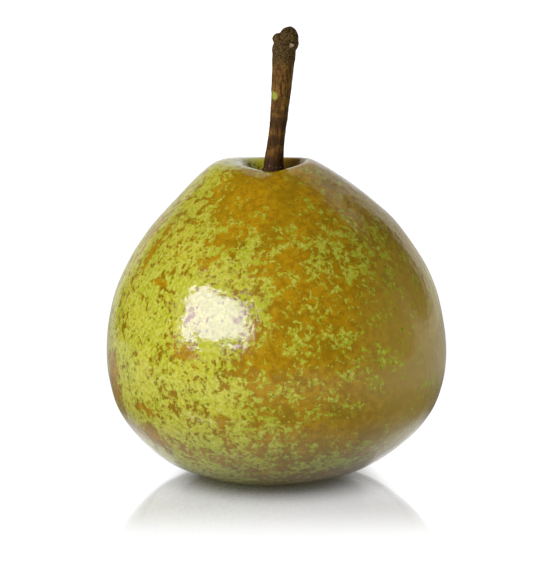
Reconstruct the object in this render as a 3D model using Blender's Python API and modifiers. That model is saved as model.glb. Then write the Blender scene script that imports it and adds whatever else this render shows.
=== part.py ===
"""A ripe, squat pear that stands on the rim round its calyx, modelled in Blender.

The pear is eight natural pieces: the fruit, its woody stem, the five dry sepals that stay on the
calyx end, and the dried flower that they surround.

Units are metres. +Z is up, the origin is on the surface the pear stands on, under the middle of its
bounding box, and -Y is the side that the pear is looked at from.
"""

import math

import bmesh
import bpy
from mathutils import Matrix, Vector

MM = 0.001

# Driving dimensions.
FRUIT_RADIUS = 40.0 * MM  # at the widest part of the belly
FRUIT_HEIGHT = 74.0 * MM  # from the surface to the rim of the stem cavity
STEM_TOP = 103.0 * MM  # height of the shaft's end, inside the knob
GAP = 0.3 * MM  # clearance between touching pieces

# Mesh density.
FRUIT_STEPS = 56  # segments round the fruit
OUTLINE_STEPS = 2  # points that each span of the outline is divided into
STEM_STEPS = 3  # the same for the stem's sections
STEM_BEVEL = 3  # bevel resolution, which makes 16 sides
STAMEN_BEVEL = 2
STAMEN_STEPS = 4
LUMP_STEPS = (12, 8)  # segments round and over a lump of the stem's knob
SEPAL_GRID = (8, 4)  # faces along and across a sepal
FLOWER_STEPS = 20

# The outline from the stem cavity's lip, over the rim and down the outside to the calyx basin, as
# (share of FRUIT_RADIUS, share of FRUIT_HEIGHT).
OUTLINE = [
    (0.078, 0.938),
    (0.105, 0.942),
    (0.140, 0.960),
    (0.178, 0.989),
    (0.222, 1.003),
    (0.292, 0.997),
    (0.372, 0.971),
    (0.456, 0.935),
    (0.560, 0.884),
    (0.711, 0.804),
    (0.834, 0.709),
    (0.929, 0.608),
    (0.983, 0.500),
    (1.000, 0.392),
    (0.983, 0.297),
    (0.921, 0.209),
    (0.803, 0.128),
    (0.657, 0.062),
    (0.475, 0.022),
    (0.375, 0.005),
    (0.330, -0.002),
    (0.285, -0.002),
    (0.240, 0.010),
    (0.195, 0.040),
    (0.150, 0.070),
    (0.105, 0.090),
    (0.055, 0.098),
]
SOCKET_DEPTH = 4.0 * MM  # how far the stem's root goes into the flesh
SOCKET_EDGE = (0.6, 0.2 * MM)  # bevel round the socket's floor: share of its radius inside it, height
SOCKET_LIP = (0.97, 0.7 * MM)  # bevel under the socket's lip: share of its radius, depth
CALYX_PIT = 1.6 * MM  # depth of the pit under the dried flower
CALYX_PIT_WALL = [(0.85, 0.6), (0.5, 1.0), (0.0, 1.0)]  # (share of its radius, share of its depth)

# How the turned shape grows out of true.
SHOULDER_START = 0.757  # share of the height where the shoulder begins to lean
SHOULDER_SHIFT = -2.6 * MM  # along X, at the rim's outer shoulder
SHOULDER_BAND = (0.16, 0.31)  # shares of the radius over which the shoulder's lean sets in
CAVITY_SHIFT = -0.6 * MM  # along X, of the stem cavity's middle
CAVITY_BAND = (0.07, 0.26)  # shares of the radius over which the skin stops following the stem
UPPER_BAND = (0.5, 0.9)  # shares of the height between the belly and the top
BASE_SHIFT = -1.9 * MM  # along X, of the calyx end
BASE_END = 0.35  # share of the height where the base's shift has died out
BASIN_BAND = (0.28, 0.33)  # shares of the radius round the basin, which is shifted whole
RIM_SADDLE = 0.4 * MM  # the rim is this much higher at its sides, and lower front and back
RIM_NOTCH = 0.7 * MM  # depth of the crease that runs from the stem to the front
RIM_NOTCH_WIDTH = math.radians(24.0)
RIM_INSIDE = (0.08, 0.19)  # shares of the radius over which the rim rises from the cavity
RIM_OUTSIDE = (0.24, 0.45)  # and over which it falls to the shoulder
DEPTH_SHARE = 0.985  # front to back, against side to side
RIBS = ((3, 0.006), (5, 0.005))  # (lobes round the belly, share of the radius)
RIB_BAND = (0.30, 0.75)  # shares of the radius over which the lobes set in

# The stem: height above the surface, sideways place, place front to back, radius.
STEM_SECTIONS = [
    (66.4 * MM, -1.60 * MM, 0.15 * MM, 1.75 * MM),
    (69.0 * MM, -1.25 * MM, 0.10 * MM, 2.15 * MM),
    (72.0 * MM, -0.75 * MM, 0.05 * MM, 2.50 * MM),
    (75.5 * MM, -0.50 * MM, 0.00 * MM, 2.28 * MM),
    (79.0 * MM, -0.10 * MM, -0.10 * MM, 2.08 * MM),
    (83.0 * MM, 0.42 * MM, -0.20 * MM, 2.03 * MM),
    (87.5 * MM, 0.87 * MM, -0.20 * MM, 2.18 * MM),
    (92.0 * MM, 1.20 * MM, -0.10 * MM, 2.42 * MM),
    (96.5 * MM, 1.55 * MM, 0.05 * MM, 2.55 * MM),
    (100.5 * MM, 1.85 * MM, 0.15 * MM, 2.75 * MM),
    (STEM_TOP, 2.10 * MM, 0.20 * MM, 2.55 * MM),
]
STEM_FOOT = STEM_SECTIONS[2]  # where the stem comes out of the cavity's floor

# Lumps of the knob where the stem parted from its spur: centre, then radii.
STEM_LUMPS = [
    ((2.95 * MM, 0.10 * MM, 103.60 * MM), (2.30 * MM, 2.20 * MM, 2.45 * MM)),
    ((3.60 * MM, -0.20 * MM, 102.00 * MM), (1.65 * MM, 1.80 * MM, 2.00 * MM)),
    ((0.55 * MM, 0.20 * MM, 103.15 * MM), (1.50 * MM, 1.60 * MM, 1.35 * MM)),
    ((1.60 * MM, 1.60 * MM, 102.50 * MM), (1.50 * MM, 1.20 * MM, 1.70 * MM)),
    ((3.35 * MM, -0.50 * MM, 98.60 * MM), (1.15 * MM, 1.40 * MM, 1.40 * MM)),
]

# The calyx.
SEPALS = 5
SEPAL_LENGTH = 5.2 * MM
SEPAL_WIDTH = 2.7 * MM
SEPAL_THICKNESS = 0.45 * MM
SEPAL_ROOT_SHARE = 0.8  # width at the root, as a share of SEPAL_WIDTH
SEPAL_SWELL = 0.6  # how much wider it grows before it tapers
SEPAL_TIP_SHARE = 0.12  # width at the tip
SEPAL_ROOT_RADIUS = 3.2 * MM  # from the calyx's middle to a sepal's root
SEPAL_DROP = 0.85 * MM  # from the pit's mouth down to a sepal's root
SEPAL_SLOPE = math.radians(62.0)  # below level, near the root
SEPAL_CURL = 0.25  # share of that slope which the tip has lost
SEPAL_CUP = 0.3 * MM  # how far a sepal's edges stand back from its middle
SEPAL_TURN = 0.35  # radians from +X to the first sepal
SEPAL_TURN_SPREAD = 0.10  # radians, how unevenly they are turned
SEPAL_TILT_SPREAD = math.radians(4.0)
FLOWER_RADIUS = 1.9 * MM  # of the dried flower's disc
FLOWER_TOP = 0.8 * MM  # how far the disc reaches up into the pit
FLOWER_PROFILE = [  # (share of FLOWER_RADIUS, share of FLOWER_TOP) above the pit's mouth
    (0.00, 1.00),
    (0.55, 1.00),
    (0.80, 0.60),
    (1.00, -0.25),
    (0.85, -0.88),
    (0.40, -0.62),
    (0.00, -0.50),
]
STAMENS = 9
STAMEN_ROOT = 0.2 * MM  # below the pit's mouth, inside the disc
STAMEN_LENGTH = 2.4 * MM
STAMEN_LENGTH_SPREAD = 0.2  # share of the length
STAMEN_BEND = 0.35  # share of the length that a tip has bent in or out
STAMEN_RADIUS = 0.2 * MM
STAMEN_TIP_SWELL = 0.5  # how much thicker the anther at its tip is
STAMEN_RING = 0.62  # share of FLOWER_RADIUS where the stamens stand

SKIN_COLOUR = (0.50, 0.42, 0.06)
BARK_COLOUR = (0.13, 0.07, 0.03)
DRY_COLOUR = (0.09, 0.05, 0.03)


def clear_scene():
    """Removes the objects that Blender starts with."""
    for obj in list(bpy.data.objects):
        bpy.data.objects.remove(obj)


def new_collection(name):
    """A collection linked to the scene."""
    collection = bpy.data.collections.new(name)
    bpy.context.scene.collection.children.link(collection)
    return collection


def new_material(name, colour, roughness):
    """A Principled BSDF with one colour and no metal."""
    material = bpy.data.materials.new(name)
    material.use_nodes = True
    shader = material.node_tree.nodes["Principled BSDF"]
    shader.inputs["Base Color"].default_value = (*colour, 1.0)
    shader.inputs["Roughness"].default_value = roughness
    shader.inputs["Metallic"].default_value = 0.0
    return material


def add_object(name, mesh, collection, material):
    """A smooth-shaded object that holds mesh."""
    mesh.shade_smooth()
    mesh.materials.clear()
    mesh.materials.append(material)
    obj = bpy.data.objects.new(name, mesh)
    collection.objects.link(obj)
    return obj


def evaluated_mesh(obj):
    """A new mesh of obj with its modifiers applied, and the source object removed."""
    bpy.context.view_layer.update()
    graph = bpy.context.evaluated_depsgraph_get()
    mesh = bpy.data.meshes.new_from_object(obj.evaluated_get(graph), depsgraph=graph)
    mesh.transform(obj.matrix_world)
    bpy.data.objects.remove(obj)
    edited = bmesh.new()
    edited.from_mesh(mesh)
    bmesh.ops.remove_doubles(edited, verts=edited.verts, dist=0.001 * MM)
    edited.to_mesh(mesh)
    edited.free()
    return mesh


def smooth_line(points, steps):
    """Points of a Catmull-Rom curve through points, with steps of them to each span."""
    first = points[0] * 2 - points[1]
    last = points[-1] * 2 - points[-2]
    ends = [first, *points, last]
    line = []
    for before, start, end, after in zip(ends, ends[1:], ends[2:], ends[3:]):
        for step in range(steps):
            t = step / steps
            line.append(
                0.5
                * (
                    2 * start
                    + (end - before) * t
                    + (2 * before - 5 * start + 4 * end - after) * t**2
                    + (3 * start - before - 3 * end + after) * t**3
                )
            )
    return [*line, points[-1]]


def smoothstep(low, high, value):
    """0 below low and 1 above high, with a smooth rise between them."""
    share = min(1.0, max(0.0, (value - low) / (high - low)))
    return share * share * (3.0 - 2.0 * share)


def uneven(number, rate):
    """A value from -1 to 1 that differs from one repeat to the next."""
    return math.sin(rate * number)


def turned_mesh(name, profile, steps):
    """The mesh of a profile turned about Z. The profile runs down its outer side, from top to bottom."""
    line = bpy.data.meshes.new(name + "_profile")
    points = [(radius, 0.0, height) for radius, height in profile]
    line.from_pydata(points, [(i, i + 1) for i in range(len(points) - 1)], [])
    obj = bpy.data.objects.new(name + "_profile", line)
    bpy.context.scene.collection.objects.link(obj)
    screw = obj.modifiers.new("Turn", "SCREW")
    screw.steps = screw.render_steps = steps
    screw.use_merge_vertices = True
    screw.merge_threshold = 0.01 * MM
    return evaluated_mesh(obj)


def fruit_profile():
    """Half of the fruit's section, from the floor of the stem's socket to the calyx pit."""
    outline = [Vector((r * FRUIT_RADIUS, z * FRUIT_HEIGHT)) for r, z in OUTLINE]
    skin = [(p.x, max(0.0, p.y)) for p in smooth_line(outline, OUTLINE_STEPS)]
    lip_radius, lip_height = skin[0]
    root_radius = STEM_SECTIONS[0][3] + GAP
    floor = lip_height - SOCKET_DEPTH
    flat_share, bevel = SOCKET_EDGE
    lip_share, lip_depth = SOCKET_LIP
    socket = [
        (0.0, floor),
        (root_radius * flat_share, floor),
        (root_radius, floor + bevel),
        (lip_radius * lip_share, lip_height - lip_depth),
    ]
    pit_radius, pit_height = skin[-1]
    pit = [(pit_radius * width, pit_height + CALYX_PIT * depth) for width, depth in CALYX_PIT_WALL]
    return socket + skin + pit


def stem_line():
    """Sections of the stem, as (centre, radius), on a smooth line."""
    sections = [Vector((x, y, z, radius)) for z, x, y, radius in STEM_SECTIONS]
    return [(p.xyz, p.w) for p in smooth_line(sections, STEM_STEPS)]


def stem_offset(height):
    """How far the middle of the stem's root is from the Z axis at a height."""
    root_height, *root_place, _ = STEM_SECTIONS[0]
    foot_height, *foot_place, _ = STEM_FOOT
    share = (height - root_height) / (foot_height - root_height)
    return Vector(root_place).lerp(Vector(foot_place), share)


def grown(point):
    """Where a point of the turned fruit ends up on the real, lopsided one."""
    radius = point.xy.length
    angle = math.atan2(point.y, point.x)
    height = point.z / FRUIT_HEIGHT
    outer = radius / FRUIT_RADIUS
    ribs = sum(depth * math.sin(lobes * angle) for lobes, depth in RIBS)
    belly = smoothstep(*RIB_BAND, outer)
    moved = Vector((point.x, point.y * DEPTH_SHARE, point.z))
    moved.xy *= 1.0 + ribs * belly

    # The shoulder leans to one side, and the cavity less so.
    rise = max(0.0, (height - SHOULDER_START) / (1.0 - SHOULDER_START))
    beyond_rim = smoothstep(*SHOULDER_BAND, outer)
    moved.x += rise**2 * SHOULDER_SHIFT * beyond_rim
    inside = 1.0 - smoothstep(*CAVITY_BAND, outer)
    upper = smoothstep(*UPPER_BAND, height)
    moved.x += CAVITY_SHIFT * upper * (1.0 - inside) * (1.0 - beyond_rim)
    moved.xy += stem_offset(point.z) * inside * upper

    # The rim is a saddle, with a crease towards the front.
    crest = smoothstep(*RIM_INSIDE, outer) * (1.0 - smoothstep(*RIM_OUTSIDE, outer)) * upper
    moved.z += RIM_SADDLE * crest * math.cos(2.0 * angle)
    towards_front = math.exp(-(((angle + math.pi / 2.0) / RIM_NOTCH_WIDTH) ** 2))
    moved.z -= RIM_NOTCH * crest * towards_front

    # The calyx end is off centre too, and its basin is not sheared.
    basin = (1.0 - smoothstep(*BASIN_BAND, outer)) * (1.0 - upper)
    fall = max(0.0, 1.0 - height / BASE_END)
    moved.x += BASE_SHIFT * max(fall**3, basin)
    return moved


def make_fruit(collection):
    """The fruit, one solid, with a socket for the stem and a basin for the calyx."""
    mesh = turned_mesh("fruit", fruit_profile(), FRUIT_STEPS)
    for vertex in mesh.vertices:
        vertex.co = grown(vertex.co)
    return add_object("fruit", mesh, collection, new_material("pear_skin", SKIN_COLOUR, 0.35))


def egg_mesh(centre, radii):
    """The mesh of an egg-shaped solid."""
    mesh = bpy.data.meshes.new("egg")
    edited = bmesh.new()
    around, over = LUMP_STEPS
    place = Matrix.Translation(centre) @ Matrix.Diagonal((*radii, 1.0))
    bmesh.ops.create_uvsphere(edited, u_segments=around, v_segments=over, radius=1.0, matrix=place)
    edited.to_mesh(mesh)
    edited.free()
    return mesh


def join(obj, name, meshes, helpers):
    """Joins solids to obj by Boolean unions. The solids become hidden objects in helpers."""
    for mesh in meshes:
        solid = bpy.data.objects.new(name, mesh)
        helpers.objects.link(solid)
        solid.hide_render = True
        solid.display_type = "WIRE"
        union = obj.modifiers.new("Join", "BOOLEAN")
        union.operation = "UNION"
        union.object = solid


def tube_mesh(name, line, bevel_resolution):
    """The mesh of a round tube along line, which holds (centre, radius), with closed ends."""
    curve = bpy.data.curves.new(name + "_line", "CURVE")
    curve.dimensions = "3D"
    curve.bevel_depth = 1.0
    curve.bevel_resolution = bevel_resolution
    curve.use_fill_caps = True
    spline = curve.splines.new("POLY")
    spline.points.add(len(line) - 1)
    for point, (centre, radius) in zip(spline.points, line):
        point.co = (*centre, 1.0)
        point.radius = radius
    obj = bpy.data.objects.new(name + "_line", curve)
    bpy.context.scene.collection.objects.link(obj)
    return evaluated_mesh(obj)


def make_stem(collection, helpers):
    """The woody stem: a bent shaft with a rounded knob of lumps at its end."""
    mesh = tube_mesh("stem", stem_line(), STEM_BEVEL)
    stem = add_object("stem", mesh, collection, new_material("stem_bark", BARK_COLOUR, 0.75))
    join(stem, "lump", [egg_mesh(Vector(centre), radii) for centre, radii in STEM_LUMPS], helpers)
    return stem


def calyx_middle():
    """The middle of the calyx pit's mouth."""
    radius, height = OUTLINE[-1]
    mouth = Vector((radius * FRUIT_RADIUS, 0.0, height * FRUIT_HEIGHT))
    return Vector((grown(mouth).x - mouth.x, 0.0, mouth.z))


def sepal_point(along, across):
    """A point of a sepal's middle surface, which grows out along +X and downwards, and whose tip
    curls outwards. along runs from 0 at the root to 1 at the tip, and across from -1 to 1."""
    taper = (1.0 - along**2) * (SEPAL_ROOT_SHARE + SEPAL_SWELL * along)
    half_width = 0.5 * SEPAL_WIDTH * max(SEPAL_TIP_SHARE, taper)
    slope = SEPAL_SLOPE * (1.0 - SEPAL_CURL * along**2)
    distance = SEPAL_LENGTH * along
    cupped = SEPAL_CUP * across**2 * (1.0 - along)
    out = SEPAL_ROOT_RADIUS + distance * math.cos(slope) - cupped * math.sin(slope)
    down = distance * math.sin(slope) + cupped * math.cos(slope)
    return Vector((out, across * half_width, -SEPAL_DROP - down))


def make_sepal(number, collection, material):
    """One dry sepal, a thin cupped blade. Each is turned and tilted a little differently."""
    mesh = bpy.data.meshes.new(f"sepal_{number}")
    edited = bmesh.new()
    bmesh.ops.create_grid(edited, x_segments=SEPAL_GRID[0], y_segments=SEPAL_GRID[1], size=1.0)
    for vertex in edited.verts:
        vertex.co = sepal_point(0.5 * (vertex.co.x + 1.0), vertex.co.y)
    turn = math.tau * (number - 1) / SEPALS + SEPAL_TURN + SEPAL_TURN_SPREAD * uneven(number, 2.4)
    tilt = SEPAL_TILT_SPREAD * uneven(number, 1.7)
    turned = Matrix.Rotation(turn, 4, "Z") @ Matrix.Rotation(tilt, 4, "Y")
    place = Matrix.Translation(calyx_middle()) @ turned
    bmesh.ops.transform(edited, matrix=place, verts=edited.verts)
    edited.to_mesh(mesh)
    edited.free()
    sepal = add_object(f"sepal_{number}", mesh, collection, material)
    shell = sepal.modifiers.new("Thickness", "SOLIDIFY")
    shell.thickness = SEPAL_THICKNESS
    shell.offset = 0.0
    return sepal


def stamen_line(number, middle):
    """A stamen's line, as (centre, radius). It hangs from the disc, bends and ends in an anther."""
    angle = math.tau * number / STAMENS
    outward = Vector((math.cos(angle), math.sin(angle), 0.0))
    length = STAMEN_LENGTH * (1.0 + STAMEN_LENGTH_SPREAD * uneven(number, 3.1))
    bend = STAMEN_BEND * length * math.cos(2.0 * number)
    line = []
    for step in range(STAMEN_STEPS + 1):
        share = step / STAMEN_STEPS
        out = STAMEN_RING * FLOWER_RADIUS + bend * share**2
        down = Vector((0.0, 0.0, -STAMEN_ROOT - length * share))
        radius = STAMEN_RADIUS * (1.0 + STAMEN_TIP_SWELL * share**4)
        line.append((middle + outward * out + down, radius))
    return line


def make_flower(collection, helpers, material):
    """The dried flower in the calyx pit: a small disc with the stumps of its stamens."""
    middle = calyx_middle()
    profile = [(width * FLOWER_RADIUS, height * FLOWER_TOP) for width, height in FLOWER_PROFILE]
    mesh = turned_mesh("dried_flower", profile, FLOWER_STEPS)
    mesh.transform(Matrix.Translation(middle))
    flower = add_object("dried_flower", mesh, collection, material)
    lines = [stamen_line(number, middle) for number in range(STAMENS)]
    join(flower, "stamen", [tube_mesh("stamen", line, STAMEN_BEVEL) for line in lines], helpers)
    return flower


def main():
    clear_scene()
    pear = new_collection("pear")
    helpers = new_collection("joined_shapes")
    make_fruit(pear)
    make_stem(pear, helpers)
    dry = new_material("dry_calyx", DRY_COLOUR, 0.85)
    for number in range(1, SEPALS + 1):
        make_sepal(number, pear, dry)
    make_flower(pear, helpers, dry)


main()
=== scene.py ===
import math

import bmesh
import bpy
import numpy as np
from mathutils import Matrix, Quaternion, Vector, noise
from mathutils.bvhtree import BVHTree


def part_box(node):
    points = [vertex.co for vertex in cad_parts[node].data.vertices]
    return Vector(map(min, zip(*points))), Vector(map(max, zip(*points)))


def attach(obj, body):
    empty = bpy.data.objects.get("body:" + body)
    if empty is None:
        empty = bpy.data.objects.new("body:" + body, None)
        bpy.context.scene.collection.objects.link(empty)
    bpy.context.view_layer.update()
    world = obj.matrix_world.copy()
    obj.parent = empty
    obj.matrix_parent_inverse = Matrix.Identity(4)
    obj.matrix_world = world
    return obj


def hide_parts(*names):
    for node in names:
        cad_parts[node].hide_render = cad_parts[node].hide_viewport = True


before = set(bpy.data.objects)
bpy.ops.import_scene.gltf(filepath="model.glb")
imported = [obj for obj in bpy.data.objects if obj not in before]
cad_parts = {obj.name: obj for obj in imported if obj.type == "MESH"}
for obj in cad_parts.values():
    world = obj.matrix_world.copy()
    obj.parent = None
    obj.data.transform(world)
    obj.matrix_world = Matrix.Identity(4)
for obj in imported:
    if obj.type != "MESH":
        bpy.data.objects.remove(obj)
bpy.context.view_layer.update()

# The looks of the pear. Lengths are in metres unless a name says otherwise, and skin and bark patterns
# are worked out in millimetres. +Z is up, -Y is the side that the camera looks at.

MM = 0.001
STEM_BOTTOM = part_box("stem")[0][2]
FRUIT_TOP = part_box("fruit")[1][2]

# The camera.
CAMERA_DISTANCE = 0.750
CAMERA_ELEVATION = math.radians(11.0)
CAMERA_TARGET = Vector((-1.45 * MM, 0.0, 45.5 * MM))
SENSOR_WIDTH_MM = 36.0
FOCAL_LENGTH_MM = 212.5

# The softbox, as seen from the pear.
KEY_AZIMUTH = math.radians(-45.0)  # from the camera's side of the pear, to the right
KEY_ELEVATION = math.radians(23.6)
KEY_ROLL = math.radians(7.0)
KEY_DISTANCE = 0.55
KEY_HEIGHT = 40.0 * MM  # of the point that it is aimed at
KEY_SIZE = (0.45, 0.27)
KEY_POWER = 3.2
KEY_COLOUR = (1.0, 0.90, 1.35)

# The room and the white card in it. A glow is what lights the pear, a shine is what the pear mirrors.
ROOM_GLOW = 0.25
ROOM_SHINE = 0.03
CARD_GLOW = 1.2
CARD_SHINE = 0.7
CARD_COLOUR = (1.0, 0.96, 0.84)
WHITE = (1.0, 1.0, 1.0)
# The card is where a direction's share along each of these is past the edge's soft start and end,
CARD_SIDES = [
    (Vector((0.839, 0.545, 0.0)), (-0.05, 0.05)),
    (Vector((0.3, 0.954, 0.0)), (0.52, 0.64)),
]
# except for a dark round gap in front of it.
DARK_MIDDLE = Vector((0.721, 0.614, 0.320))
DARK_EDGE = (0.930, 0.962)
BEHIND_EDGE = (0.93, 0.98)  # the white that the floor mirrors behind the pear

# The floor. Distances from the middle of the pear are in mm.
FLOOR_RADIUS = 0.30
FLOOR_SEGMENTS = 128
FLOOR_DROP = 0.02 * MM
FLOOR_WHITE = 1.03  # what the camera sees
FLOOR_SHADOW = (0.045, 0.04, 0.015)
FLOOR_SHADOW_REACH = 60.0 * MM
FLOOR_SHADOW_SAMPLES = 16
FLOOR_OPEN = 0.50  # share of open sky from which there is no shadow
FLOOR_SHADOW_SIDES = (18.0, 25.0)  # where the shadow ends to the left and the right of the middle,
FLOOR_SHADOW_TAPER = -0.22  # and how that changes with each mm towards the front
FLOOR_SHINE = (1.15, 0.15, 0.45)  # under the pear, round it and far from it
FLOOR_SHINE_SPANS = ((35.0, 65.0), (75.0, 140.0))  # where it changes from one to the next
FLOOR_GLOW = (0.35, 1.2)  # to the left of the pear and to the right, where the card lights it
FLOOR_GLOW_SIDES = (-80.0, 80.0)
FLOOR_GLOW_START = (30.0, 90.0)  # it sets in beyond the pear
MIRROR_SHARE = 0.42
MIRROR_ROUGHNESS = 0.05
MIRROR_FADE = (28.0, 64.0)  # towards the front
MIRROR_BACK = (-25.0, -8.0)  # and from the back, where it sets in
MIRROR_EDGE = (55.0, 80.0)  # all round


# ---------------------------------------------------------------- meshes


def welded_quads(node):
    """A bmesh of a CAD node with its triangles joined back into quads."""
    edited = bmesh.new()
    edited.from_mesh(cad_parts[node].data)
    bmesh.ops.remove_doubles(edited, verts=edited.verts, dist=0.001 * MM)
    bmesh.ops.join_triangles(
        edited, faces=edited.faces, angle_face_threshold=math.radians(60.0), angle_shape_threshold=math.pi
    )
    return edited


def new_piece(name, edited):
    """An object with the mesh that edited holds."""
    mesh = bpy.data.meshes.new(name)
    edited.to_mesh(mesh)
    edited.free()
    mesh.shade_smooth()
    piece = bpy.data.objects.new(name, mesh)
    bpy.context.scene.collection.objects.link(piece)
    return piece


def apply_modifiers(piece):
    """Replaces a piece's mesh by the one that its modifiers make."""
    bpy.context.view_layer.update()
    graph = bpy.context.evaluated_depsgraph_get()
    mesh = bpy.data.meshes.new_from_object(piece.evaluated_get(graph), depsgraph=graph)
    piece.modifiers.clear()
    old = piece.data
    piece.data = mesh
    bpy.data.meshes.remove(old)
    mesh.name = piece.name
    mesh.shade_smooth()


def subdivide(piece, levels):
    """Applies a Catmull-Clark subdivision."""
    modifier = piece.modifiers.new("Subdivide", "SUBSURF")
    modifier.levels = modifier.render_levels = levels
    apply_modifiers(piece)


def remesh(piece, voxel):
    """Rebuilds a piece's surface as an even fine mesh, which also joins what overlaps."""
    modifier = piece.modifiers.new("Remesh", "REMESH")
    modifier.mode = "VOXEL"
    modifier.voxel_size = voxel
    modifier.use_smooth_shade = True
    apply_modifiers(piece)
    smooth = piece.modifiers.new("Smooth", "SMOOTH")
    smooth.factor = 0.5
    smooth.iterations = 4
    apply_modifiers(piece)


def set_material(piece, material):
    """Gives a piece one material."""
    piece.data.materials.clear()
    piece.data.materials.append(material)


def move_along_normals(piece, height):
    """Moves each point of a piece along its normal by height(point), in metres."""
    mesh = piece.data
    moved = [v.co + v.normal * height(v.co) for v in mesh.vertices]
    for vertex, place in zip(mesh.vertices, moved):
        vertex.co = place
    mesh.update()


def bumps(point, size, seed=0.0):
    """Smooth noise, about -1 to 1, with bumps that are size apart."""
    return noise.noise(point / size + Vector((seed, -seed, 2.0 * seed)))


# ---------------------------------------------------------------- shader building


class Nodes:
    """The node tree of a material or world, with short ways to add the nodes used here."""

    def __init__(self, owner):
        owner.use_nodes = True
        self.tree = owner.node_tree

    def add(self, kind):
        return self.tree.nodes.new("ShaderNode" + kind)

    def put(self, socket, value):
        """Links an output to a socket, or sets the socket's value."""
        if isinstance(value, bpy.types.NodeSocket):
            self.tree.links.new(value, socket)
        elif isinstance(value, tuple) and len(value) == 3 and socket.type == "RGBA":
            socket.default_value = (*value, 1.0)
        else:
            socket.default_value = value

    def math(self, operation, first, second=0.0, third=None):
        node = self.add("Math")
        node.operation = operation
        self.put(node.inputs[0], first)
        self.put(node.inputs[1], second)
        if third is not None:
            self.put(node.inputs[2], third)
        return node.outputs[0]

    def vector(self, operation, first, second=None, scale=None):
        node = self.add("VectorMath")
        node.operation = operation
        self.put(node.inputs[0], first)
        if second is not None:
            self.put(node.inputs[1], second)
        if scale is not None:
            self.put(node.inputs["Scale"], scale)
        gives_number = operation in ("LENGTH", "DOT_PRODUCT", "DISTANCE")
        return node.outputs["Value" if gives_number else "Vector"]

    def axis(self, vector, name):
        """One of a vector's numbers, by the axis's name."""
        node = self.add("SeparateXYZ")
        self.put(node.inputs[0], vector)
        return node.outputs[name]

    def noise(self, size_mm, detail=2.0, roughness=0.5, place=None, colour=False):
        """Noise whose features are size_mm across."""
        node = self.add("TexNoise")
        self.put(node.inputs["Vector"], place or self.place)
        node.inputs["Scale"].default_value = 1.0 / size_mm
        node.inputs["Detail"].default_value = detail
        node.inputs["Roughness"].default_value = roughness
        return node.outputs["Color" if colour else "Fac"]

    def ramp(self, value, low, high, to_low=0.0, to_high=1.0, smooth=True):
        """value's rise from low to high, as to_low to to_high."""
        node = self.add("MapRange")
        node.interpolation_type = "SMOOTHSTEP" if smooth else "LINEAR"
        self.put(node.inputs["Value"], value)
        ends = {"From Min": low, "From Max": high, "To Min": to_low, "To Max": to_high}
        for name, end in ends.items():
            self.put(node.inputs[name], end)
        return node.outputs["Result"]

    def mix(self, share, first, second):
        """Two colours mixed. A Mix node also holds unused sockets of other types with the same names."""
        node = self.add("Mix")
        node.data_type = "RGBA"
        colours = [socket for socket in node.inputs if socket.type == "RGBA"]
        self.put(node.inputs[0], share)
        self.put(colours[0], first)
        self.put(colours[1], second)
        return next(socket for socket in node.outputs if socket.type == "RGBA")

    def pick(self, share, first, second):
        """The number first where share is 0, and second where it is 1."""
        return self.ramp(share, 0.0, 1.0, first, second, smooth=False)

    def attribute(self, name):
        node = self.add("Attribute")
        node.attribute_name = name
        return node.outputs["Fac"]


class MaterialNodes(Nodes):
    """The node tree of a new material. Its place is the point of the surface, in mm."""

    def __init__(self, name):
        self.material = bpy.data.materials.new(name)
        super().__init__(self.material)
        self.shader = self.tree.nodes["Principled BSDF"]
        coordinates = self.add("TexCoord")
        self.place = self.vector("SCALE", coordinates.outputs["Object"], scale=1.0 / MM)

    def shifted(self, size_mm, amount_mm, place=None):
        """The place, pushed about by noise, so that edges come out ragged."""
        colour = self.noise(size_mm, detail=3.0, place=place, colour=True)
        push = self.vector("SUBTRACT", colour, (0.5, 0.5, 0.5))
        return self.vector("ADD", place or self.place, self.vector("SCALE", push, scale=2.0 * amount_mm))

    def spot(self, place, middle, radius):
        """1 within radius of middle, falling to 0 around it."""
        return self.ramp(self.vector("DISTANCE", place, middle), 0.7 * radius, 1.2 * radius, 1.0, 0.0)

    def set_gloss(self, roughness, specular=0.5):
        """Sets a roughness and a specular level that are the same all over."""
        self.shader.inputs["Roughness"].default_value = roughness
        self.shader.inputs["Specular IOR Level"].default_value = specular

    def set_bump(self, height, distance_mm):
        """Links a bump of height to the shader."""
        node = self.add("Bump")
        node.inputs["Strength"].default_value = 1.0
        node.inputs["Distance"].default_value = distance_mm * MM
        self.put(node.inputs["Height"], height)
        self.put(self.shader.inputs["Normal"], node.outputs["Normal"])


# ---------------------------------------------------------------- the fruit


SLICE_STEP = 0.5 * MM  # between the stem's slices
SLICE_DEPTH = 1.5 * MM  # to each side
FLESH_REACH = 5.0 * MM  # from the stem's middle, how far out the flesh is drawn in
FLESH_BITE = 0.1 * MM  # how far it goes into the stem
FLESH_CURVE = 1.35

SUBDIVISION_LOSS = 0.25 * MM  # what subdividing takes off the skin
SKIN_BUMPS = [(17.0 * MM, 0.22 * MM, 3.1), (7.0 * MM, 0.12 * MM, 5.7), (2.6 * MM, 0.035 * MM, 1.3)]


def stem_slices():
    """The stem's middle and radius at heights SLICE_STEP apart, read from its CAD mesh."""
    points = [v.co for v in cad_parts["stem"].data.vertices]
    slices = []
    for number in range(int((FRUIT_TOP - STEM_BOTTOM) / SLICE_STEP) + 2):
        height = STEM_BOTTOM + number * SLICE_STEP
        near = [p for p in points if abs(p.z - height) < SLICE_DEPTH]
        middle = sum((p.xy for p in near), Vector((0.0, 0.0))) / len(near)
        slices.append((middle, max((p.xy - middle).length for p in near)))
    return slices


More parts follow.
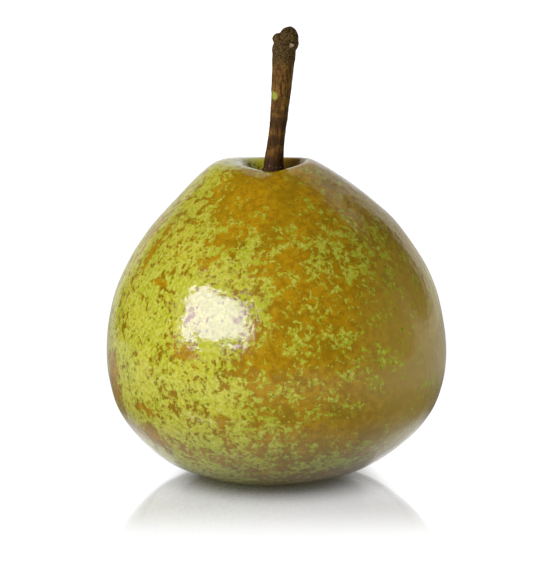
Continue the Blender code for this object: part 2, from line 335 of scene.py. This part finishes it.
def close_on_stem(piece):
    """Brings the lip of the stem's socket in to the stem, so that the flesh meets it."""
    slices = stem_slices()
    for vertex in piece.data.vertices:
        number = round((vertex.co.z - STEM_BOTTOM) / SLICE_STEP)
        if not 0 <= number < len(slices):
            continue
        middle, radius = slices[number]
        out = vertex.co.xy - middle
        if not 1e-6 < out.length < FLESH_REACH:
            continue
        share = max(0.0, (out.length - radius) / (FLESH_REACH - radius))
        wanted = (radius - FLESH_BITE) + (FLESH_REACH - radius + FLESH_BITE) * share**FLESH_CURVE
        vertex.co.xy = middle + out.normalized() * min(out.length, wanted)


def stand_flat(piece):
    """Flattens what is below the surface that the pear stands on."""
    for vertex in piece.data.vertices:
        vertex.co.z = max(0.0, vertex.co.z)


def skin_relief(point):
    """The skin's undulation, in metres, on top of what subdividing takes off."""
    total = SUBDIVISION_LOSS
    for size, depth, seed in SKIN_BUMPS:
        total += depth * bumps(point, size, seed)
    return total


# How thick the russet is, in steps of one standard deviation of its pattern: at 0 it covers half the skin.
# It changes on the way round the fruit. Azimuths are in degrees from the front to the right.
RUSSET_BASE = -1.2
RUSSET_TURNS = [  # start, end, change
    (-32.0, 10.0, 1.6),
    (2.0, 38.0, 0.45),
    (120.0, 215.0, -2.5),
]
AZIMUTH_SEAM = -120.0  # azimuths run from here all the way round

# The stem cavity is lined with it, under painted shade, and a painted reflection pales its left wall.
# Lengths are in mm.
CAVITY_MIDDLE = Vector((2.2, 1.4, 72.0))
CAVITY_RADIUS = 7.0
CAVITY_RUSSET = 4.0
# painted shade: between these distances from the cavity's middle the russet darkens
CAVITY_SHADE_SPAN = (4.5, 8.0)
# a painted reflection of white on the cavity's left wall: its middle and radius
CAVITY_REFLECTION_MIDDLE = Vector((-5.2, 1.0, 73.0))
CAVITY_REFLECTION_RADIUS = 3.2

# Places where it is thicker or thinner: azimuth, height in mm, half width and half height in mm, change.
RUSSET_AREAS = [
    (-18.0, 69.5, 9.0, 11.0, 2.8),  # the smooth cap below the stem
    (45.0, 60.0, 9.0, 7.0, -0.7),
    (12.0, 57.5, 7.0, 5.0, -0.8),
    (-11.5, 60.2, 2.7, 3.2, -1.2),
    (16.4, 46.0, 3.3, 2.5, -1.0),
    (7.0, 31.0, 3.6, 2.4, -0.9),
    (58.0, 42.0, 6.0, 12.0, 0.8),
    (44.0, 23.0, 8.0, 8.0, 0.9),
    (24.0, 18.0, 9.0, 5.0, 0.9),
    (8.0, 21.0, 3.2, 6.2, 0.5),
    (-14.0, 16.0, 5.6, 3.7, 0.6),
    (-25.5, 57.8, 3.0, 6.0, 1.0),
    (-34.0, 37.8, 2.7, 2.3, 1.2),
    (-45.0, 60.0, 14.0, 10.0, 0.45),
    (-80.0, 57.0, 2.5, 9.0, 1.8),
    (-64.0, 13.5, 9.0, 3.4, 2.2),
    (-66.0, 55.5, 1.0, 8.0, 3.0),  # streak up the left shoulder
    (-50.0, 49.5, 2.8, 1.3, 2.4),
    (5.5, 57.2, 3.4, 3.0, 2.2),
    (27.0, 51.1, 1.8, 1.7, 1.3),
    (23.5, 44.3, 3.0, 2.8, 1.1),
    (44.0, 39.6, 2.3, 1.9, 1.0),
    (-1.4, 33.5, 2.5, 4.0, 1.3),
    (-32.0, 35.7, 3.8, 1.8, 2.0),
    (-28.0, 33.0, 1.4, 2.4, 1.8),
    (-50.0, 20.7, 3.4, 2.0, 2.2),
    (-19.0, 20.5, 1.9, 1.8, 2.3),
    (0.0, 43.3, 2.0, 7.0, 0.9),
    (-7.0, 37.0, 2.5, 8.0, 0.8),
    (-25.0, 60.7, 3.6, 2.0, 1.4),
    (-50.0, 55.0, 4.0, 1.7, 0.8),
    (16.0, 34.3, 5.6, 3.1, 0.7),
    (-32.0, 55.1, 2.4, 2.0, 0.9),
    (-6.0, 55.8, 1.9, 3.0, 1.0),
    (-74.0, 24.0, 4.5, 7.0, 3.4),  # smooth band at the left edge
    (-49.0, 13.5, 6.0, 4.0, 1.6),
    (-32.0, 10.4, 7.5, 3.6, 1.4),
    (-16.0, 10.8, 3.0, 3.2, 1.5),
    (-19.0, 45.0, 9.0, 8.0, -0.9),
    (28.0, 56.1, 8.0, 6.5, -0.9),
    (21.0, 9.0, 12.0, 4.0, -1.2),
    (150.0, 62.0, 10.0, 6.0, 1.2),  # the back
    (200.0, 40.0, 5.0, 7.0, 1.5),
    (170.0, 28.0, 4.0, 3.0, 1.3),
    (235.0, 56.0, 5.0, 3.0, 1.4),
    (95.0, 58.0, 6.0, 4.0, 0.8),
]

OUTSIDE = 0.1  # a distance from the axis that is well clear of the fruit

# How far noise pushes the edges of those places about: size of the noise and distance, in mm.
RAGGED_EDGES = [(5.0, 1.6), (1.8, 0.7)]
RAGGED_SEEDS = (5.9, 14.3, 9.7)  # for the three axes

# The russet's pattern is a sum of noises: size in mm, detail, roughness and share.
RUSSET_NOISES = [(1.3, 4.0, 0.68, 0.62), (3.4, 2.0, 0.5, 0.29), (10.0, 1.0, 0.5, 0.09)]
RUSSET_DEVIATION = 0.052  # the standard deviation of that sum
RUSSET_EDGE = (-0.40, 0.45)

# The yellow-green ground and what is on it.
GROUND = ((0.40, 0.46, 0.018), (0.47, 0.49, 0.026))
MOTTLE = (0.60, 0.64, 0.10)
STAIN = (0.27, 0.24, 0.003)
DARKENING_HEIGHTS = (44.0, 66.0)  # mm, where the ground starts to darken towards the top
DOT = (0.18, 0.19, 0.003)
DOT_SPACING = 1.7  # mm
DOT_RADII = (0.08, 0.27)  # share of the spacing
# the painted reflection on the cavity's left wall
PAINTED_WALL_REFLECTION = (0.52, 0.52, 0.26)

# The russet.
BROWN = ((0.30, 0.170, 0.001), (0.43, 0.265, 0.002))
BROWN_OLIVE = (0.25, 0.165, 0.001)
BROWN_ALONE = (0.19, 0.12, 0.001)  # of flecks that stand alone
# the real russet under painted shade in the cavity
BROWN_PAINTED_SHADE = (0.10, 0.055, 0.008)
# a painted sheen of the white card, which pales the russet towards the right edge
BROWN_PAINTED_SHEEN = (0.52, 0.37, 0.07)
SHEEN_SIDE = Vector((0.96, -0.28, 0.0))  # the russet is paler towards this side
SHEEN_START = (24.0, 38.0)  # mm from the axis

SKIN_IOR = 1.55
SKIN_ROUGHNESS = (0.08, 0.13)  # of the ground and of the russet
GRAIN_ROUGHNESS = 0.06
SKIN_BUMP = 0.13  # mm


def skin_azimuths(places):
    """The azimuth of each place, in degrees from the front to the right, starting at AZIMUTH_SEAM."""
    azimuths = np.degrees(np.arctan2(places[:, 0], -places[:, 1]))
    return np.where(azimuths < AZIMUTH_SEAM, azimuths + 360.0, azimuths)


def russet_round_the_fruit(azimuths):
    """The russet's thickness before any patch is added."""
    total = np.full(len(azimuths), RUSSET_BASE)
    for start, end, change in RUSSET_TURNS:
        share = np.clip((azimuths - start) / (end - start), 0.0, 1.0)
        total += change * share * share * (3.0 - 2.0 * share)
    return total


def ragged(places):
    """The places, pushed about by noise, so that the patches come out with ragged edges."""
    pushed = places.copy()
    for number, place in enumerate(places):
        for size, distance in RAGGED_EDGES:
            push = [bumps(Vector(place), size, seed) for seed in RAGGED_SEEDS]
            pushed[number] += distance * np.array(push)
    return pushed


def patch(places, surface, azimuth, height, half_width, half_height):
    """1 within a patch of the skin, falling to 0 around it. Lengths are in mm."""
    angle = math.radians(azimuth)
    outward = Vector((math.sin(angle), -math.cos(angle), 0.0))
    outside = Vector((0.0, 0.0, height * MM)) + OUTSIDE * outward
    hit, normal, _, _ = surface.ray_cast(outside, -outward)
    side = Vector((0.0, 0.0, 1.0)).cross(normal).normalized()
    rise = normal.cross(side)
    offset = places - np.array(hit) / MM
    across = offset @ np.array(side) / half_width
    along = offset @ np.array(rise) / half_height
    depth = offset @ np.array(normal) / max(half_width, half_height)
    return np.exp(-((across**2 + along**2 + depth**2) ** 1.5))


def write_russet_density(piece):
    """Writes the thickness of the russet at each point of the skin, for the material to read."""
    mesh = piece.data
    places = np.empty(len(mesh.vertices) * 3, dtype=np.float32)
    mesh.vertices.foreach_get("co", places)
    places = places.reshape(-1, 3).astype(float) / MM
    surface = BVHTree.FromObject(piece, bpy.context.evaluated_depsgraph_get())
    total = russet_round_the_fruit(skin_azimuths(places))
    from_cavity = np.hypot(places[:, 0] - CAVITY_MIDDLE.x, places[:, 1] - CAVITY_MIDDLE.y)
    total += CAVITY_RUSSET * np.exp(-((from_cavity / CAVITY_RADIUS) ** 6))
    places = ragged(places)
    for *area, change in RUSSET_AREAS:
        total += change * patch(places, surface, *area)
    attribute = mesh.attributes.new("russet_density", "FLOAT", "POINT")
    attribute.data.foreach_set("value", total.astype(np.float32))


def russet_level(n):
    """The russet's pattern plus its thickness, a ragged noise. There is russet where it is above 0."""
    place = n.shifted(1.0, 0.30, n.shifted(5.0, 1.0))
    level = 0.0
    for size, detail, roughness, share in RUSSET_NOISES:
        level = n.math("MULTIPLY_ADD", n.noise(size, detail, roughness, place), share, level)
    deviations = n.math("DIVIDE", n.math("SUBTRACT", level, 0.5), RUSSET_DEVIATION)
    return n.math("ADD", deviations, n.attribute("russet_density"))


def skin_dots(n):
    """1 in the small round dots of the skin, which vary in size."""
    cells = n.add("TexVoronoi")
    cells.inputs["Scale"].default_value = 1.0 / DOT_SPACING
    n.put(cells.inputs["Vector"], n.shifted(2.5, 0.35))
    pick = n.add("SeparateColor")
    n.put(pick.inputs[0], cells.outputs["Color"])
    radius = n.ramp(pick.outputs[0], 0.1, 1.0, *DOT_RADII, smooth=False)
    return n.ramp(n.math("DIVIDE", cells.outputs["Distance"], radius), 0.7, 1.3, 1.0, 0.0)


def ground_colour(n, level):
    """The skin's yellow-green ground, with pale mottle, stains, specks, dots, a painted reflection in the
    cavity and a darker top.
    """
    ground = n.mix(n.ramp(n.noise(8.0, detail=3.0), 0.35, 0.65), *GROUND)
    ground = n.mix(n.ramp(n.noise(0.9), 0.40, 0.65, 0.0, 0.6), ground, MOTTLE)
    ground = n.mix(n.ramp(level, -1.3, -0.1, 0.0, 0.45), ground, STAIN)
    specks = n.noise(0.8, place=n.shifted(2.0, 0.5))
    ground = n.mix(n.ramp(specks, 0.54, 0.66, 0.0, 0.5), ground, STAIN)
    ground = n.mix(n.math("MULTIPLY", skin_dots(n), 0.85), ground, DOT)
    # a painted reflection pales the cavity's left wall
    ground = n.mix(n.spot(n.place, CAVITY_REFLECTION_MIDDLE, CAVITY_REFLECTION_RADIUS), ground, PAINTED_WALL_REFLECTION)
    # darker towards the top
    return n.mix(n.ramp(n.axis(n.place, "Z"), *DARKENING_HEIGHTS, 0.0, 0.25), ground, STAIN)


def russet_colour(n):
    """The russet's golden brown, with olive areas, painted shade in the cavity and a painted sheen on one
    side.
    """
    brown = n.mix(n.ramp(n.noise(1.6, detail=4.0, roughness=0.65), 0.35, 0.65), *BROWN)
    brown = n.mix(n.ramp(n.noise(7.0), 0.46, 0.64, 0.0, 0.55), brown, BROWN_OLIVE)
    brown = n.mix(n.ramp(n.attribute("russet_density"), -1.2, 0.3, 0.7, 0.0), brown, BROWN_ALONE)
    from_cavity = n.vector("DISTANCE", n.place, CAVITY_MIDDLE)
    # painted shade darkens the russet in the cavity
    brown = n.mix(n.ramp(from_cavity, *CAVITY_SHADE_SPAN, 0.85, 0.0), brown, BROWN_PAINTED_SHADE)
    # painted sheen: the russet pales towards the right edge
    to_sheen_side = n.vector("DOT_PRODUCT", n.place, SHEEN_SIDE)
    return n.mix(n.ramp(to_sheen_side, *SHEEN_START, 0.0, 0.6), brown, BROWN_PAINTED_SHEEN)


def skin_material():
    """Yellow-green waxy skin under golden-brown russet, which stands up a little and shines less."""
    n = MaterialNodes("pear_skin")
    level = russet_level(n)
    russet = n.ramp(level, *RUSSET_EDGE)
    n.put(n.shader.inputs["Base Color"], n.mix(russet, ground_colour(n, level), russet_colour(n)))
    roughness = n.pick(russet, *SKIN_ROUGHNESS)
    roughness = n.math("MULTIPLY_ADD", n.noise(0.35), GRAIN_ROUGHNESS, roughness)
    n.put(n.shader.inputs["Roughness"], roughness)
    n.shader.inputs["IOR"].default_value = SKIN_IOR
    n.set_bump(n.math("MULTIPLY_ADD", russet, 0.05, n.noise(2.0, roughness=0.4)), SKIN_BUMP)
    return n.material


def make_fruit():
    piece = new_piece("pear_fruit", welded_quads("fruit"))
    subdivide(piece, 2)
    close_on_stem(piece)
    move_along_normals(piece, skin_relief)
    stand_flat(piece)
    write_russet_density(piece)
    set_material(piece, skin_material())
    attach(piece, "root")
    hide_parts("fruit")


# ---------------------------------------------------------------- the stem


STEM_VOXEL = 0.17 * MM
RIDGE_SIZE = 0.9 * MM
RIDGE_DEPTH = 0.13 * MM
RIDGE_STRETCH = 0.16  # the ridges' width over their length
LUMP_SIZES = (1.5 * MM, 0.7 * MM)
LUMP_DEPTHS = (0.06 * MM, 0.12 * MM)  # on the shaft, and what the head adds
HEAD_HEIGHTS = (96.0 * MM, 102.0 * MM)  # where the head's lumps set in

# The bark's colours. Lengths are in mm.
BARK = ((0.050, 0.021, 0.002), (0.200, 0.106, 0.012))
BARK_STREAK = Vector((1.0, 1.0, 0.22))
BARK_RINGS = [  # height, half width, how dark
    (86.4, 0.6, 0.5),
    (83.7, 1.8, 0.75),
    (79.3, 1.4, 0.75),
    (73.0, 3.6, 0.85),
]
RING_COLOUR = (0.036, 0.017, 0.002)
MOSS = ((0.014, 0.010, 0.001), (0.130, 0.082, 0.013))
MOSS_HEIGHTS = (95.5, 99.5)  # where the mossy head begins
GREEN_PATCH = (-0.5, -1.7, 90.2)  # live green bark
GREEN_RADIUS = 1.1
GREEN_COLOUR = (0.30, 0.33, 0.035)
SCAR = (3.6, -2.2, 101.8)  # of a bud
SCAR_RADIUS = 0.6
SCAR_COLOUR = (0.40, 0.28, 0.14)
FLECK_HEIGHTS = (73.0, 74.5)  # pale flecks are below these
FLECK_COLOUR = (0.55, 0.48, 0.36)
BARK_BUMP = 0.18


def bark_relief(point):
    """Lengthwise ridges on the shaft and a rough, lumpy knob."""
    stretched = Vector((point.x, point.y, point.z * RIDGE_STRETCH))
    ridges = bumps(stretched, RIDGE_SIZE, 2.2)
    start, end = HEAD_HEIGHTS
    head = max(0.0, min(1.0, (point.z - start) / (end - start)))
    large, small = LUMP_SIZES
    lumps = bumps(point, large, 7.7) + 0.5 * bumps(point, small, 4.1)
    shaft_depth, head_depth = LUMP_DEPTHS
    return RIDGE_DEPTH * ridges + (shaft_depth + head_depth * head) * lumps


def bark_material():
    """Brown bark with lengthwise streaks, dark rings, a mossy head and a few pale flecks at the foot."""
    n = MaterialNodes("stem_bark")
    streaks = n.noise(0.5, detail=4.0, roughness=0.7, place=n.vector("MULTIPLY", n.place, BARK_STREAK))
    fine = n.noise(0.3, detail=3.0, roughness=0.7)
    mixed = n.math("MULTIPLY_ADD", fine, 0.35, n.math("MULTIPLY", streaks, 0.65))
    bark = n.mix(n.ramp(mixed, 0.42, 0.59), *BARK)
    ragged_place = n.shifted(1.2, 0.6)
    height = n.axis(ragged_place, "Z")
    for middle, half_width, dark in BARK_RINGS:
        away = n.math("ABSOLUTE", n.math("SUBTRACT", height, middle))
        ring = n.ramp(away, 0.4 * half_width, 1.3 * half_width, dark, 0.0)
        bark = n.mix(ring, bark, RING_COLOUR)
    moss = n.mix(n.ramp(fine, 0.44, 0.58), *MOSS)
    bark = n.mix(n.ramp(height, *MOSS_HEIGHTS), bark, moss)
    bark = n.mix(n.spot(n.shifted(1.0, 0.8), GREEN_PATCH, GREEN_RADIUS), bark, GREEN_COLOUR)
    bark = n.mix(n.spot(ragged_place, SCAR, SCAR_RADIUS), bark, SCAR_COLOUR)
    low = n.ramp(height, *FLECK_HEIGHTS, 0.8, 0.0)
    bark = n.mix(n.math("MULTIPLY", n.ramp(n.noise(0.55), 0.66, 0.70), low), bark, FLECK_COLOUR)
    n.put(n.shader.inputs["Base Color"], bark)
    n.set_gloss(0.75, 0.15)
    n.set_bump(mixed, BARK_BUMP)
    return n.material


def make_stem():
    piece = new_piece("pear_stem", welded_quads("stem"))
    remesh(piece, STEM_VOXEL)
    move_along_normals(piece, bark_relief)
    set_material(piece, bark_material())
    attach(piece, "root")
    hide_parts("stem")


# ---------------------------------------------------------------- the calyx


# Dark and light colours of the dry tissue.
SEPAL_COLOURS = ((0.035, 0.018, 0.008), (0.16, 0.10, 0.05))
FLOWER_COLOURS = ((0.02, 0.011, 0.006), (0.10, 0.06, 0.03))
FLOWER_VOXEL = 0.09 * MM


def sepal_relief(point):
    return 0.05 * MM * bumps(point, 0.9 * MM, 9.0)


def flower_relief(point):
    return 0.04 * MM * bumps(point, 0.5 * MM, 6.0)


def dry_material(name, dark, light):
    """Dry, wrinkled plant tissue."""
    n = MaterialNodes(name)
    wrinkles = n.noise(0.45, detail=4.0, roughness=0.65)
    n.put(n.shader.inputs["Base Color"], n.mix(n.ramp(wrinkles, 0.35, 0.68), dark, light))
    n.set_gloss(0.8)
    n.set_bump(wrinkles, 0.1)
    return n.material


def make_sepals():
    material = dry_material("dry_sepal", *SEPAL_COLOURS)
    for node in sorted(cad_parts):
        if not node.startswith("sepal_"):
            continue
        piece = new_piece("pear_" + node, welded_quads(node))
        subdivide(piece, 2)
        move_along_normals(piece, sepal_relief)
        set_material(piece, material)
        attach(piece, "root")
        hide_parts(node)


def make_flower():
    piece = new_piece("pear_dried_flower", welded_quads("dried_flower"))
    remesh(piece, FLOWER_VOXEL)
    move_along_normals(piece, flower_relief)
    set_material(piece, dry_material("dry_flower", *FLOWER_COLOURS))
    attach(piece, "root")
    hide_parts("dried_flower")


# ---------------------------------------------------------------- the studio


def direction(azimuth, elevation):
    """The unit vector from the pear at an azimuth, from the camera's side to the right, and elevation."""
    level = math.cos(elevation)
    return Vector((math.sin(azimuth) * level, -math.cos(azimuth) * level, math.sin(elevation)))


def make_camera():
    data = bpy.data.cameras.new("camera")
    data.sensor_fit = "HORIZONTAL"
    data.sensor_width = SENSOR_WIDTH_MM
    data.lens = FOCAL_LENGTH_MM
    camera = bpy.data.objects.new("camera", data)
    bpy.context.scene.collection.objects.link(camera)
    away = direction(0.0, CAMERA_ELEVATION)
    camera.location = CAMERA_TARGET + away * CAMERA_DISTANCE
    camera.rotation_euler = away.to_track_quat("Z", "Y").to_euler()
    bpy.context.scene.camera = camera


def make_key():
    """The softbox that gives the window-shaped highlight."""
    data = bpy.data.lights.new("key", "AREA")
    data.shape = "RECTANGLE"
    data.size, data.size_y = KEY_SIZE
    data.energy = KEY_POWER
    data.color = KEY_COLOUR
    light = bpy.data.objects.new("key", data)
    bpy.context.scene.collection.objects.link(light)
    towards = direction(KEY_AZIMUTH, KEY_ELEVATION)
    light.location = towards * KEY_DISTANCE + Vector((0.0, 0.0, KEY_HEIGHT))
    roll = Quaternion((0.0, 0.0, 1.0), KEY_ROLL)
    light.rotation_euler = (towards.to_track_quat("Z", "Y") @ roll).to_euler()


def make_world():
    """White for the camera. For the pear it is a dim room with a white card to the right and behind."""
    world = bpy.data.worlds.new("studio")
    bpy.context.scene.world = world
    n = Nodes(world)
    way = n.add("TexCoord").outputs["Generated"]
    card = n.ramp(n.vector("DOT_PRODUCT", way, DARK_MIDDLE), *DARK_EDGE, 1.0, 0.0)
    for side, edge in CARD_SIDES:
        card = n.math("MULTIPLY", card, n.ramp(n.vector("DOT_PRODUCT", way, side), *edge))
    path = n.add("LightPath").outputs
    room = n.pick(path["Is Glossy Ray"], ROOM_GLOW, ROOM_SHINE)
    bright = n.pick(path["Is Glossy Ray"], CARD_GLOW, CARD_SHINE)
    level = n.pick(card, room, bright)
    # What the floor mirrors behind the pear is as white as the surround.
    behind = n.ramp(n.vector("DOT_PRODUCT", way, direction(math.pi, CAMERA_ELEVATION)), *BEHIND_EDGE)
    mirrored = n.math("MULTIPLY", behind, path["Is Glossy Ray"])
    surround = n.math("MAXIMUM", path["Is Camera Ray"], mirrored)
    background = n.tree.nodes["Background"]
    n.put(background.inputs["Strength"], n.math("MAXIMUM", level, surround))
    n.put(background.inputs["Color"], n.mix(surround, CARD_COLOUR, WHITE))


def floor_shade(n, front, side):
    """1 on the open floor, 0 in the contact shadow, which is not let out at the pear's sides."""
    occlusion = n.add("AmbientOcclusion")
    occlusion.inputs["Distance"].default_value = FLOOR_SHADOW_REACH
    occlusion.samples = FLOOR_SHADOW_SAMPLES
    beside = n.math("MULTIPLY_ADD", front, FLOOR_SHADOW_TAPER, n.math("ABSOLUTE", side))
    sky = n.ramp(occlusion.outputs["AO"], 0.0, FLOOR_OPEN)
    return n.math("MAXIMUM", sky, n.ramp(beside, *FLOOR_SHADOW_SIDES))


def floor_level(n, far, side):
    """How bright the floor is: for the camera, in what the pear mirrors, and as light on the pear."""
    path = n.add("LightPath").outputs
    across = n.ramp(side, *FLOOR_GLOW_SIDES, *FLOOR_GLOW)
    glow = n.math("MULTIPLY", n.ramp(far, *FLOOR_GLOW_START), across)
    under, around, beyond = FLOOR_SHINE
    first, second = FLOOR_SHINE_SPANS
    near = n.ramp(far, *first, under, around)
    mirrored = n.math("ADD", near, n.ramp(far, *second, 0.0, beyond - around))
    unseen = n.pick(path["Is Glossy Ray"], glow, mirrored)
    return n.pick(path["Is Camera Ray"], unseen, FLOOR_WHITE)


def make_floor():
    """A white disc that mirrors the pear in front of it."""
    edited = bmesh.new()
    bmesh.ops.create_circle(edited, cap_ends=True, radius=FLOOR_RADIUS, segments=FLOOR_SEGMENTS)
    floor = new_piece("floor", edited)
    floor.location.z = -FLOOR_DROP
    n = MaterialNodes("floor")
    n.tree.nodes.remove(n.shader)
    far = n.vector("LENGTH", n.place)
    side = n.axis(n.place, "X")
    front = n.math("MULTIPLY", n.axis(n.place, "Y"), -1.0)
    white = n.add("Emission")
    n.put(white.inputs["Color"], n.mix(floor_shade(n, front, side), FLOOR_SHADOW, WHITE))
    n.put(white.inputs["Strength"], floor_level(n, far, side))
    shine = n.add("BsdfGlossy")
    n.put(shine.inputs["Color"], WHITE)
    n.put(shine.inputs["Roughness"], MIRROR_ROUGHNESS)
    to_front = n.ramp(front, *MIRROR_FADE, 1.0, 0.0)
    share = n.math("MULTIPLY", to_front, n.ramp(front, *MIRROR_BACK, 0.0, MIRROR_SHARE))
    share = n.math("MULTIPLY", share, n.ramp(far, *MIRROR_EDGE, 1.0, 0.0))
    mixed = n.add("MixShader")
    n.put(mixed.inputs[0], share)
    n.put(mixed.inputs[1], white.outputs[0])
    n.put(mixed.inputs[2], shine.outputs[0])
    n.put(n.tree.nodes["Material Output"].inputs["Surface"], mixed.outputs[0])
    set_material(floor, n.material)


bpy.context.scene.view_settings.view_transform = "Standard"
make_camera()
make_world()
make_key()
make_floor()
make_fruit()
make_stem()
make_sepals()
make_flower()

bpy.context.view_layer.update()
